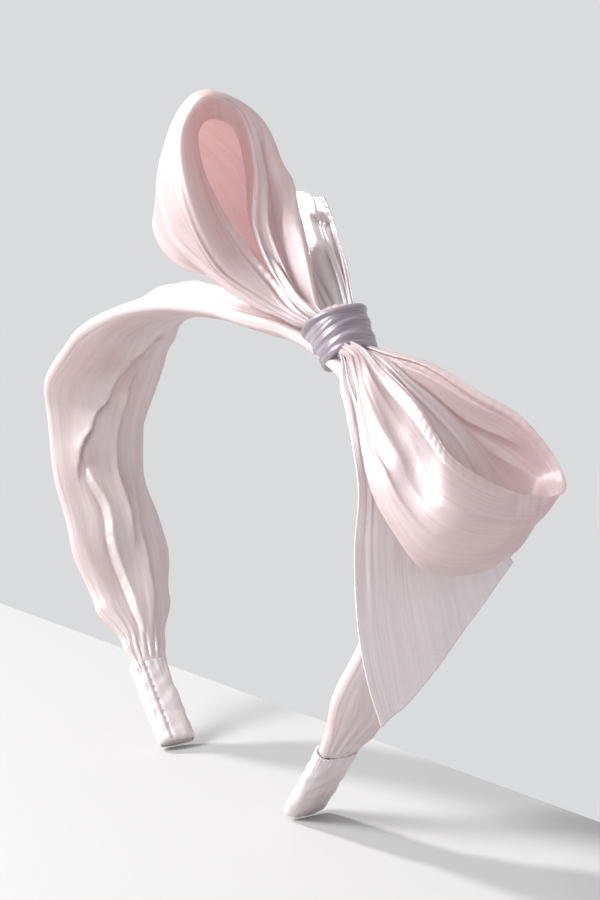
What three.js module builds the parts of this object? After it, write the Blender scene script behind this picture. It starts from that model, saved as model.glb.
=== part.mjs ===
// A headband: a springy plastic core in a gathered fabric sleeve, with a large ribbon bow tied on one side.
// Millimetres, +Z up, X across the head, -Y to the front. The origin is where the crown rests on the head.
import * as THREE from "three";

// Driving dimensions of the band's centre line.
const headToCentre = 3.5;
const halfSpan = 77;
const crownRise = 30;
const armDrop = 84;
const tipHalfGap = 33;

// The plastic core: half its width, at the crown and at the tips, and half its thickness.
const coreHalfWidth = 4.2;
const coreTipHalfWidth = 3.4;
const coreHalfThick = 0.9;

// Clearances between pieces.
const fit = 0.35;
const cutGap = 0.4;

// Lengths along the band.
const capLength = 24;
const hingeFromCrown = 76;
const knotFromCrown = 56.5;

// The knot: a fabric wrap round the sleeve and the gathered bow.
const wrapLength = 11;
const wrapHalfBore = 6.3;
const wrapWall = 1.1;
const wrapLift = 3;
const wrapTilt = THREE.MathUtils.degToRad(10);
const threadWall = 0.45;
const threadLength = 3;

// Ribbon as a plain sheet.
const ribbonThick = 1;

const shoulderZ = headToCentre - crownRise;
const tipZ = shoulderZ - armDrop;
const across = new THREE.Vector3(0, 1, 0);

const satin = new THREE.MeshStandardMaterial({ color: 0xe3cfd3, roughness: 0.42, metalness: 0 });
const satinShade = new THREE.MeshStandardMaterial({ color: 0xc9b9c3, roughness: 0.38, metalness: 0 });
const plastic = new THREE.MeshStandardMaterial({ color: 0xf2ece9, roughness: 0.3, metalness: 0 });
const cotton = new THREE.MeshStandardMaterial({ color: 0xd9c3c8, roughness: 0.8, metalness: 0 });

class CrownArc extends THREE.Curve {
  getPoint(t, target = new THREE.Vector3()) {
    const angle = Math.PI * (1 - t);
    const x = halfSpan * Math.cos(angle);
    const z = shoulderZ + crownRise * Math.sin(angle);
    return target.set(x, 0, z);
  }
}

// One arm, from its tip up to the widest point: a parabola that leaves the widest point straight down.
function armCurve(side) {
  const tip = new THREE.Vector3(side * tipHalfGap, 0, tipZ);
  const bend = new THREE.Vector3(side * halfSpan, 0, shoulderZ - armDrop / 2);
  const shoulder = new THREE.Vector3(side * halfSpan, 0, shoulderZ);
  return side < 0
    ? new THREE.QuadraticBezierCurve3(tip, bend, shoulder)
    : new THREE.QuadraticBezierCurve3(shoulder, bend, tip);
}

// The whole centre line, from the left tip over the crown to the right tip.
const band = new THREE.CurvePath();
band.add(armCurve(-1));
band.add(new CrownArc());
band.add(armCurve(1));
const halfLength = band.getLength() / 2;

// The band's centre, direction and outward normal at a length from the crown, negative on the left.
function bandFrame(fromCrown) {
  const t = THREE.MathUtils.clamp(0.5 + fromCrown / (2 * halfLength), 0, 1);
  const along = band.getTangent(THREE.MathUtils.clamp(t, 0.0005, 0.9995));
  const out = new THREE.Vector3(-along.z, 0, along.x);
  return { centre: band.getPoint(t), along, out };
}

// A closed ring of points, round for power 2 and squarer above it.
function ring(frame, halfWidth, halfThick, sides = 16, power = 2) {
  const points = [];
  for (let i = 0; i < sides; i += 1) {
    const angle = (2 * Math.PI * i) / sides;
    const c = Math.cos(angle);
    const s = Math.sin(angle);
    const y = halfWidth * Math.sign(c) * Math.abs(c) ** (2 / power);
    const n = halfThick * Math.sign(s) * Math.abs(s) ** (2 / power);
    points.push(frame.centre.clone().addScaledVector(across, y).addScaledVector(frame.out, n));
  }
  return points;
}

// Geometry from points and triangles, turned so that its faces point out.
function solidGeometry(points, triangles) {
  let volume = 0;
  const turned = [];
  for (const [a, b, c] of triangles) {
    volume += points[a].dot(new THREE.Vector3().crossVectors(points[b], points[c]));
    turned.push([a, c, b]);
  }
  const geometry = new THREE.BufferGeometry().setFromPoints(points);
  geometry.setIndex((volume < 0 ? turned : triangles).flat());
  geometry.computeVertexNormals();
  return geometry;
}

// A skin over a row of rings. The ends are closed flat, or joined to each other when closed is true.
function loft(rings, closed = false) {
  const sides = rings[0].length;
  const points = rings.flat();
  const triangles = [];
  const spans = closed ? rings.length : rings.length - 1;
  for (let i = 0; i < spans; i += 1) {
    const next = (i + 1) % rings.length;
    for (let j = 0; j < sides; j += 1) {
      const k = (j + 1) % sides;
      triangles.push([i * sides + j, next * sides + j, next * sides + k]);
      triangles.push([i * sides + j, next * sides + k, i * sides + k]);
    }
  }
  if (!closed) {
    closeEnd(points, triangles, 0, sides, true);
    closeEnd(points, triangles, (rings.length - 1) * sides, sides, false);
  }
  return solidGeometry(points, triangles);
}

function closeEnd(points, triangles, first, sides, atStart) {
  const middle = points.length;
  const sum = new THREE.Vector3();
  for (let j = 0; j < sides; j += 1) {
    sum.add(points[first + j]);
  }
  points.push(sum.divideScalar(sides));
  for (let j = 0; j < sides; j += 1) {
    const k = first + ((j + 1) % sides);
    triangles.push(atStart ? [middle, first + j, k] : [middle, k, first + j]);
  }
}

// A value that runs smoothly through rows of [place, value].
function smooth(rows, place) {
  const last = rows.length - 1;
  if (place <= rows[0][0]) return rows[0][1];
  if (place >= rows[last][0]) return rows[last][1];
  const i = rows.findIndex((row) => row[0] > place);
  const share = THREE.MathUtils.smoothstep(place, rows[i - 1][0], rows[i][0]);
  return THREE.MathUtils.lerp(rows[i - 1][1], rows[i][1], share);
}

function steps(from, to, count) {
  return Array.from({ length: count + 1 }, (_, i) => THREE.MathUtils.lerp(from, to, i / count));
}

// Half the core's width at a length from the crown.
function coreWidthAt(fromCrown) {
  return THREE.MathUtils.lerp(coreHalfWidth, coreTipHalfWidth, Math.abs(fromCrown) / halfLength);
}

function corePiece(from, to, count) {
  const rings = steps(from, to, count).map((s) => ring(bandFrame(s), coreWidthAt(s), coreHalfThick, 8, 3));
  return loft(rings);
}

// Half the sleeve's width and thickness: wide at the left shoulder, pinched under the knot and at the caps.
const sleeveEnd = halfLength - capLength - cutGap;
const sleeveHalfWidth = [
  [-sleeveEnd, 5],
  [-sleeveEnd + 18, 11],
  [-sleeveEnd + 34, 13.8],
  [-sleeveEnd + 58, 12.4],
  [-82, 16.5],
  [-60, 16.5],
  [-10, 10.5],
  [36, 8],
  [knotFromCrown - 9, 4.9],
  [knotFromCrown + 8, 4.9],
  [knotFromCrown + 28, 10],
  [sleeveEnd - 34, 12.6],
  [sleeveEnd - 16, 11],
  [sleeveEnd, 5],
];
const sleeveHalfThick = [
  [-sleeveEnd, 2.2],
  [-sleeveEnd + 18, 4.2],
  [-60, 5.4],
  [-10, 3.5],
  [10, 3.5],
  [knotFromCrown - 9, 1.9],
  [knotFromCrown + 6, 1.9],
  [knotFromCrown + 20, 4],
  [sleeveEnd - 18, 4.2],
  [sleeveEnd, 2.2],
];

function sleevePiece(from, to, count) {
  const places = steps(from, to, count);
  const outer = places.map((s) => ring(bandFrame(s), smooth(sleeveHalfWidth, s), smooth(sleeveHalfThick, s)));
  const inner = places.map((s) => ring(bandFrame(s), coreWidthAt(s) + fit, coreHalfThick + fit, 16, 3));
  return loft([...outer, ...inner.reverse()], true);
}

// A fabric cap that closes over one tip of the core, with a flat end.
function tipCap(side) {
  const mouth = side * (halfLength - capLength);
  const floor = side * (halfLength - 0.9);
  const end = side * halfLength;
  const inner = steps(floor, mouth, 4).map((s) => ring(bandFrame(s), coreWidthAt(s) + fit, coreHalfThick + fit, 16, 3));
  const outer = steps(mouth, end, 5).map((s) => {
    const full = 4.7 + 0.2 * Math.sin((Math.PI * Math.abs(s - end)) / capLength);
    return ring(bandFrame(s), full, 2, 16, 2.6);
  });
  return loft([...inner, ...outer]);
}

// The knot's own frame: its axis follows the band and dips a little more.
const bandAtKnot = bandFrame(knotFromCrown);
const knotCentre = bandAtKnot.centre.clone().addScaledVector(bandAtKnot.out, wrapLift);
const knotAlong = bandAtKnot.along.clone().applyAxisAngle(across, wrapTilt);
const knotOut = bandAtKnot.out.clone().applyAxisAngle(across, wrapTilt);

function knotFrame(along, out) {
  const centre = knotCentre.clone().addScaledVector(knotAlong, along).addScaledVector(knotOut, out);
  return { centre, along: knotAlong, out: knotOut };
}

// A ring-shaped tube round the knot's axis.
function knotTube(halfBore, wall, length, bulge) {
  const places = steps(-length / 2, length / 2, 4);
  const outer = places.map((s) => {
    const swell = bulge * Math.cos((Math.PI * s) / length);
    return ring(knotFrame(s, 0), halfBore + wall + swell, halfBore + wall + swell, 20, 2.6);
  });
  const inner = places.map((s) => ring(knotFrame(s, 0), halfBore, halfBore, 20, 3));
  return loft([...outer, ...inner.reverse()], true);
}

// The middle of the bow, squeezed into a short flat bundle above the sleeve.
function bowGather() {
  const half = wrapLength / 2;
  const rings = steps(-half, half, 4).map((s) => ring(knotFrame(s, 2.75), 4.9, 2.3, 16, 2.4));
  return loft(rings);
}

// A smooth curve through points given from the knot's centre.
function rail(points) {
  const places = points.map(([x, y, z]) => new THREE.Vector3(x, y, z).add(knotCentre));
  return new THREE.CatmullRomCurve3(places, false, "centripetal");
}

// A bent sheet over three or more rails, smooth from one rail to the next, as one closed body.
function sheet(rails, along, wide) {
  const curves = rails.map(rail);
  const place = (u, v) => {
    const row = curves.map((curve) => curve.getPoint(u));
    return new THREE.CatmullRomCurve3(row, false, "catmullrom", 0.5).getPoint(v);
  };
  const outer = [];
  const inner = [];
  for (const u of steps(0, 1, along)) {
    for (const v of steps(0, 1, wide)) {
      const p = place(u, v);
      const du = place(Math.min(u + 0.01, 1), v).sub(place(Math.max(u - 0.01, 0), v));
      const dv = place(u, Math.min(v + 0.01, 1)).sub(place(u, Math.max(v - 0.01, 0)));
      const normal = new THREE.Vector3().crossVectors(du, dv).normalize();
      outer.push(p.clone().addScaledVector(normal, ribbonThick / 2));
      inner.push(p.clone().addScaledVector(normal, -ribbonThick / 2));
    }
  }
  return thickSheet(outer, inner, along, wide);
}

// Joins two grids of points, one on each face of a sheet, along all four borders.
function thickSheet(outer, inner, along, wide) {
  const points = [...outer, ...inner];
  const triangles = [];
  const quad = (a, b, c, d) => triangles.push([a, b, c], [a, c, d]);
  const at = (layer, i, j) => layer * outer.length + i * (wide + 1) + j;
  for (let i = 0; i < along; i += 1) {
    for (let j = 0; j < wide; j += 1) {
      quad(at(0, i, j), at(0, i + 1, j), at(0, i + 1, j + 1), at(0, i, j + 1));
      quad(at(1, i, j), at(1, i, j + 1), at(1, i + 1, j + 1), at(1, i + 1, j));
    }
    quad(at(0, i, 0), at(1, i, 0), at(1, i + 1, 0), at(0, i + 1, 0));
    quad(at(0, i, wide), at(0, i + 1, wide), at(1, i + 1, wide), at(1, i, wide));
  }
  for (let j = 0; j < wide; j += 1) {
    quad(at(0, 0, j), at(0, 0, j + 1), at(1, 0, j + 1), at(1, 0, j));
    quad(at(0, along, j), at(1, along, j), at(1, along, j + 1), at(0, along, j + 1));
  }
  return solidGeometry(points, triangles);
}

// The bow's rails run from the knot's centre. Each row is one rail, and a loop's rail comes back to the knot.

// The loop that stands up over the crown, from its rolled near rim round to the fold over the band.
const upperLoopRails = [
  [
    [-2.8, -2.9, 7.2], [-7, -5, 5.5], [-14.5, -6, 11.5], [-23.5, -9.5, 21], [-30, -12.5, 31],
    [-33, -14, 44.5], [-34, -10, 47.5], [-34, -4.5, 45.5], [-34.5, -1.5, 36.5], [-28.5, -4, 25],
    [-11.5, -4, 10], [-6, -1.5, 7], [-2.7, -0.4, 7.4],
  ],
  [
    [-3.6, -3.3, 6], [-7, -6, 5.5], [-12.5, -11.5, 9], [-18.5, -17, 15.5], [-23, -21.5, 29.5],
    [-27.5, -20.5, 45], [-28, -13.5, 52], [-28, -6, 49], [-26.5, -3, 36], [-21.5, -5.5, 22.5],
    [-9, -5.5, 9], [-6, -1.5, 7.5], [-3.2, 0.1, 6.6],
  ],
  [
    [-4.1, -3.1, 5.2], [-8, -6, 4.5], [-15.5, -11.5, 8], [-25.5, -17, 16], [-34.5, -20.5, 25.5],
    [-41, -18, 42.5], [-38.5, -11.5, 52], [-33, 1, 45], [-31, 6.5, 31.5], [-21, 5, 21.5], [-8, 0.5, 10],
    [-5.5, -0.5, 7.5], [-3.9, 0.3, 5.5],
  ],
  [
    [-4.7, -2.8, 4.1], [-8.6, -4, 4.1], [-21.5, -7.5, 7], [-33.5, -11.5, 12.5], [-45.5, -15, 16.5],
    [-56, -15, 25], [-60.5, -8.5, 34], [-60.5, -6.5, 25.5], [-52, -6, 18], [-36.5, -4.5, 12],
    [-16, -2, 6.5], [-8, -0.4, 5], [-4.6, 0.3, 4.4],
  ],
];

// The loop that falls away behind the right arm, from its open rim round to the fold at its foot.
const lowerLoopRails = [
  [
    [7.7, -2.4, 0.6], [11, -1, -1], [19.5, -1, -5], [31, -1, -11], [37.5, -1, -17], [42, -0.5, -21.5],
    [45.5, 6.5, -27], [45, 19, -30.5], [40.5, 27.5, -29.5], [37.5, 27.5, -25], [34, 22, -16.5],
    [28.5, 15.5, -11], [20, 9.5, -5], [12, 4.5, -2.5], [7.7, 1, 0.6],
  ],
  [
    [7.3, -3.4, 0], [12, -2.5, -2.5], [24, -7, -8], [34, -7.5, -17.5], [42, -7, -24.5], [48.5, -5.5, -29],
    [51, 3, -32.5], [48, 15.5, -33.5], [41.5, 23, -31], [34.5, 25.5, -29], [29, 21.5, -23.5],
    [24, 14, -17.5], [18, 8, -9.5], [11, 4, -4.5], [7.3, 1, -0.1],
  ],
  [
    [6.8, -3.8, -0.8], [11.5, -4, -3], [24, -10.5, -11], [36, -13.5, -21], [43, -13, -30],
    [47.5, -9, -36], [50, 1, -38.5], [46, 13.5, -36.5], [41.5, 20, -34.5], [35, 21, -35], [35, 15, -30],
    [32.5, 9, -18.5], [23, 4, -9], [13, 2, -3.5], [6.8, 0.6, -0.7],
  ],
  [
    [6.3, -3.6, -1.6], [10.5, -4, -3.5], [22.5, -10.5, -12.5], [32, -14, -23.5], [38, -12, -34],
    [43, -8, -41.5], [45.5, 0.5, -43], [43.5, 12, -41], [40.5, 17, -39], [36, 15.5, -39], [36, 8, -35],
    [34, 1, -22], [25.5, -1, -11.5], [15, -1, -4], [6.4, 0.1, -1.4],
  ],
];

// The short end that stands up behind the upper loop and folds over backwards.
const upperTailRails = [
  [
    [-2.8, 3, 7.2], [-5, 6, 8], [-7.5, 8, 11], [-14, 10.5, 17], [-20.5, 12.5, 23], [-26, 14, 28],
    [-29, 15, 29.5], [-32.5, 17.5, 28], [-34, 20, 23], [-34, 21.5, 14],
  ],
  [
    [-3.7, 2.8, 5.8], [-6, 4.4, 7], [-10.5, 6.5, 11], [-19.5, 9.5, 17.5], [-28, 12, 24], [-34, 14.5, 29],
    [-37.5, 15.5, 30.5], [-40.5, 17.5, 29.5], [-42, 19.5, 24.5], [-42.5, 21, 14.5],
  ],
  [
    [-4.6, 2.4, 4.3], [-8, 2.2, 4.5], [-18.5, 4.5, 9.5], [-30, 8.5, 17], [-38.5, 11.5, 23],
    [-44.5, 14, 28], [-48.5, 16, 31.5], [-51, 18, 31], [-52.5, 19.5, 25], [-53, 21, 15],
  ],
];

// The long end over the right shoulder, down to where it starts to hang free.
const lowerTailTopRails = [
  [
    [5.4, -2.4, -3], [7, -3.5, -3.5], [12.5, -7, -9], [20, -10.5, -13], [27, -13.5, -19],
    [28.5, -14, -21],
  ],
  [
    [5.4, 0, -3], [10, -2.5, -4], [16.5, -3, -7.5], [22.5, -3, -13], [29, -5, -19.5], [29.5, -5, -21],
  ],
  [
    [5.4, 2.4, -3], [9.5, 1.5, -4], [16, 3, -8], [23, 6, -13], [29, 8.5, -18.5], [30.5, 9.5, -21],
  ],
];

// The hanging part, cut slanting at its end.
const lowerTailRails = [
  [
    [28.5, -14, -21.4], [30.5, -14.5, -27.5], [29, -15, -39], [31.5, -16.5, -52], [32, -15, -64],
    [31.5, -12, -74],
  ],
  [
    [29.5, -5, -21.4], [30.5, -4.5, -28], [29.5, -4.5, -39], [30, -4.5, -50], [30, -3, -59.5],
    [29.5, -1.5, -68.5],
  ],
  [
    [30.5, 9.5, -21.4], [32, 11.5, -25.5], [32, 14, -32], [32, 16.5, -37], [32, 18, -41.5],
    [32, 20.5, -45.5],
  ],
];

const headband = new THREE.Group();

function add(name, geometry, material) {
  const mesh = new THREE.Mesh(geometry, material);
  mesh.name = name;
  headband.add(mesh);
}

const armStart = hingeFromCrown + cutGap;
add("core_crown", corePiece(-hingeFromCrown, hingeFromCrown, 24), plastic);
add("core_left_arm", corePiece(-armStart, -(halfLength - 1.3), 14), plastic);
add("core_right_arm", corePiece(armStart, halfLength - 1.3, 14), plastic);
add("sleeve_crown", sleevePiece(-hingeFromCrown, hingeFromCrown, 24), satin);
add("sleeve_left_arm", sleevePiece(-armStart, -sleeveEnd, 12), satin);
add("sleeve_right_arm", sleevePiece(armStart, sleeveEnd, 12), satin);
add("tip_cap_left", tipCap(-1), satin);
add("tip_cap_right", tipCap(1), satin);
add("bow_gather", bowGather(), satin);
add("binding_thread", knotTube(5.45, threadWall, threadLength, 0), cotton);
add("knot_wrap", knotTube(wrapHalfBore, wrapWall, wrapLength, 0.3), satinShade);
add("upper_loop", sheet(upperLoopRails, 40, 8), satin);
add("lower_loop", sheet(lowerLoopRails, 42, 8), satin);
add("upper_tail", sheet(upperTailRails, 27, 6), satin);
add("lower_tail_top", sheet(lowerTailTopRails, 15, 6), satin);
add("lower_tail", sheet(lowerTailRails, 15, 6), satin);

export default headband;
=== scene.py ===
import math

import bpy
import numpy as np
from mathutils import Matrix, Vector


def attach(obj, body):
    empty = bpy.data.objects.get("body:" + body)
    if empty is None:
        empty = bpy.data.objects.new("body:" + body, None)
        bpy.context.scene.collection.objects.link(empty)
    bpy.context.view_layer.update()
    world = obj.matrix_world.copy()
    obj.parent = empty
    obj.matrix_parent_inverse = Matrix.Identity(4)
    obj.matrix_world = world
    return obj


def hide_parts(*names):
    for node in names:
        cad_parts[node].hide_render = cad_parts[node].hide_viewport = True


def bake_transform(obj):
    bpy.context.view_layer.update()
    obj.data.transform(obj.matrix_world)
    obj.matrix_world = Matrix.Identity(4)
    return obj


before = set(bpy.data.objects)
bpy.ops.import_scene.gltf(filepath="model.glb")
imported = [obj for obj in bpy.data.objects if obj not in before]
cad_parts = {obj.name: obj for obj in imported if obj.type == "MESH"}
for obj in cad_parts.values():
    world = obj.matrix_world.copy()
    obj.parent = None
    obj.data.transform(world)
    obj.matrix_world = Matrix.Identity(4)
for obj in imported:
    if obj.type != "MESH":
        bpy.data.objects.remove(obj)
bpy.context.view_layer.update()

# Millimetres to metres. Shapes are worked out in millimetres. The flat sizes of the cloth, the floor, the
# lights and the camera are in metres.
MM = 0.001

# The headband's own dimensions. Those down to WRAP_LIFT are as in the CAD source.
HEAD_TO_CENTRE = 3.5
HALF_SPAN = 77.0
CROWN_RISE = 30.0
ARM_DROP = 84.0
TIP_HALF_GAP = 33.0
CAP_LENGTH = 24.0
KNOT_FROM_CROWN = 56.5
WRAP_LIFT = 3.0
CAP_GAP = 0.4
CAP_HALF_WIDTH = 4.85
CAP_HALF_THICK = 2.1
CAP_ROUNDING = 1.25
PANEL_HALF_WIDTH = 4.25
PANEL_HALF_THICK = 1.12
SLEEVE_TUCK = 0.6
SLEEVE_AROUND = 62
CLOTH_THICK = 0.3
STITCH_PITCH = 1.9
THREAD_RADIUS = 0.12
SHOULDER_Z = HEAD_TO_CENTRE - CROWN_RISE
TIP_Z = SHOULDER_Z - ARM_DROP


# ---------------------------------------------------------------- numbers and noise


def perlin(x, y, seed, period=0):
    """Smooth noise from about -1 to 1 on arrays x and y. With a period, it repeats in y."""
    turn = np.random.default_rng(seed).uniform(0, 2 * np.pi, (256, 256))
    xi, yi = np.floor(x).astype(int), np.floor(y).astype(int)
    fx, fy = x - xi, y - yi

    def corner(i, j):
        row = (yi + j) % (period or 256)
        a = turn[(xi + i) % 256, row]
        return np.cos(a) * (fx - i) + np.sin(a) * (fy - j)

    ex = fx**3 * (fx * (6 * fx - 15) + 10)
    ey = fy**3 * (fy * (6 * fy - 15) + 10)
    low = corner(0, 0) * (1 - ex) + corner(1, 0) * ex
    high = corner(0, 1) * (1 - ex) + corner(1, 1) * ex
    return 1.6 * (low * (1 - ey) + high * ey)


def crease(x, y, seed, period=0):
    """Noise with sharp crests, as fabric has where it folds: 1 on a crest and down to about -1 between."""
    return 1 - 2.6 * np.sqrt(perlin(x, y, seed, period) ** 2 + 0.0016)


def table(rows, x):
    """A smooth value through rows of (place, value)."""
    places = np.array([r[0] for r in rows], float)
    values = np.array([r[1] for r in rows], float)
    x = np.clip(x, places[0], places[-1])
    i = np.clip(np.searchsorted(places, x, side="right") - 1, 0, len(places) - 2)
    share = (x - places[i]) / (places[i + 1] - places[i])
    share = share * share * (3 - 2 * share)
    return values[i] + share * (values[i + 1] - values[i])


def fade(x, start, end):
    """0 at start, 1 at end, smooth between."""
    t = np.clip((x - start) / (end - start), 0, 1)
    return t * t * (3 - 2 * t)


def unit(v):
    """Each vector of v at length 1."""
    return v / np.maximum(np.linalg.norm(v, axis=-1, keepdims=True), 1e-9)


def rail(points, count):
    """A smooth curve through points, as an array of count points spread evenly by control point."""
    p = np.array(points, float)
    p = np.vstack([2 * p[0] - p[1], p, 2 * p[-1] - p[-2]])
    t = np.linspace(0, len(points) - 1, count)
    i = np.minimum(t.astype(int), len(points) - 2)
    f = (t - i)[:, None]
    p0, p1, p2, p3 = p[i], p[i + 1], p[i + 2], p[i + 3]
    spans = ((p0, p1), (p1, p2), (p2, p3))
    d0, d1, d2 = (np.sqrt(np.linalg.norm(b - a, axis=1, keepdims=True)) for a, b in spans)
    m1 = ((p1 - p0) / d0 - (p2 - p0) / (d0 + d1) + (p2 - p1) / d1) * d1
    m2 = ((p2 - p1) / d1 - (p3 - p1) / (d1 + d2) + (p3 - p2) / d2) * d1
    return (
        p1 * (2 * f**3 - 3 * f**2 + 1)
        + m1 * (f**3 - 2 * f**2 + f)
        + p2 * (3 * f**2 - 2 * f**3)
        + m2 * (f**3 - f**2)
    )


def lengths(line):
    """How far along the line each of its points is."""
    return np.concatenate([[0], np.cumsum(np.linalg.norm(np.diff(line, axis=0), axis=1))])


# ---------------------------------------------------------------- the band's centre line


def centre_line():
    """Points of the band's middle, from the left tip over the crown to the right tip."""
    t = np.linspace(0, 1, 400)[:, None]
    tip = np.array([TIP_HALF_GAP, 0, TIP_Z])
    bend = np.array([HALF_SPAN, 0, SHOULDER_Z - ARM_DROP / 2])
    shoulder = np.array([HALF_SPAN, 0, SHOULDER_Z])
    right = (1 - t) ** 2 * shoulder + 2 * t * (1 - t) * bend + t**2 * tip
    left = right[::-1] * np.array([-1, 1, 1])
    angle = np.pi * (1 - np.linspace(0, 1, 900))
    crown = np.stack(
        [HALF_SPAN * np.cos(angle), 0 * angle, SHOULDER_Z + CROWN_RISE * np.sin(angle)], axis=1
    )
    return np.vstack([left, crown[1:-1], right])


BAND = centre_line()
BAND_S = lengths(BAND) - lengths(BAND)[-1] / 2
HALF_LENGTH = BAND_S[-1]
SLEEVE_END = HALF_LENGTH - CAP_LENGTH - CAP_GAP


def band_frame(s):
    """Centre points, directions and outward normals at lengths s from the crown."""
    s = np.atleast_1d(np.asarray(s, float))
    at = lambda q: np.stack([np.interp(q, BAND_S, BAND[:, k]) for k in range(3)], axis=1)
    along = unit(at(np.minimum(s + 0.6, HALF_LENGTH)) - at(np.maximum(s - 0.6, -HALF_LENGTH)))
    out = np.stack([-along[:, 2], 0 * s, along[:, 0]], axis=1)
    return at(s), along, out


band_under_knot, _, out_at_knot = (x[0] for x in band_frame(KNOT_FROM_CROWN))
KNOT = band_under_knot + WRAP_LIFT * out_at_knot
# The direction across the band.
ACROSS = np.array([0, 1, 0])


# ---------------------------------------------------------------- meshes


def cloth(name, grid, across, along, material, thick, closed=False, weave_around=False):
    """A cloth mesh from a grid of points in millimetres, rows along it and columns across.

    Its UV map holds each point's flat place in metres: across is that of each column and along that of each
    row. closed joins the last column to the first. weave_around turns the weave, for a strip whose length
    runs round the piece."""
    rows, cols = grid.shape[:2]
    count = cols if closed else cols - 1
    i, j = np.meshgrid(np.arange(rows - 1), np.arange(count), indexing="ij")
    k = (j + 1) % cols
    faces = np.stack([i * cols + j, (i + 1) * cols + j, (i + 1) * cols + k, i * cols + k], axis=-1)
    mesh = bpy.data.meshes.new(name)
    mesh.from_pydata((grid.reshape(-1, 3) * MM).tolist(), [], faces.reshape(-1, 4).tolist())
    edge = np.append(across, across[-1] + (across[-1] - across[-2])) * MM
    u = along * MM
    corners = np.stack([
        np.stack([u[i], edge[j]], -1),
        np.stack([u[i + 1], edge[j]], -1),
        np.stack([u[i + 1], edge[j + 1]], -1),
        np.stack([u[i], edge[j + 1]], -1),
    ], axis=-2).reshape(-1, 2)
    if weave_around:
        corners = corners[:, ::-1].copy()
    layer = mesh.uv_layers.new(name="Cloth")
    layer.data.foreach_set("uv", corners.astype(np.float32).ravel())
    mesh.polygons.foreach_set("use_smooth", [True] * len(mesh.polygons))
    mesh.materials.append(material)
    mesh.update()
    piece = bpy.data.objects.new(name, mesh)
    bpy.context.scene.collection.objects.link(piece)
    wall = piece.modifiers.new("Thickness", "SOLIDIFY")
    wall.thickness = thick * MM
    wall.offset = 0
    wall.use_rim = True
    return piece


def normals(grid):
    """The surface normal at each point of a grid."""
    du = np.gradient(grid, axis=0)
    dv = np.gradient(grid, axis=1)
    return unit(np.cross(du, dv))


def area_of(piece):
    """Area of one layer of the piece's own mesh, in square metres."""
    return sum(p.area for p in piece.data.polygons)


def between(stack, cols):
    """Smooth rows through a few points each: stack is rows by points by 3, the result rows by cols by 3."""
    many = stack.shape[1]
    before, after = 2 * stack[:, :1] - stack[:, 1:2], 2 * stack[:, -1:] - stack[:, -2:-1]
    p = np.concatenate([before, stack, after], axis=1)
    t = np.linspace(0, many - 1, cols)
    i = np.minimum(t.astype(int), many - 2)
    f = (t - i)[None, :, None]
    p0, p1, p2, p3 = p[:, i], p[:, i + 1], p[:, i + 2], p[:, i + 3]
    return 0.5 * (
        2 * p1
        + (p2 - p0) * f
        + (2 * p0 - 5 * p1 + 4 * p2 - p3) * f**2
        + (3 * p1 - p0 - 3 * p2 + p3) * f**3
    )


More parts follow.
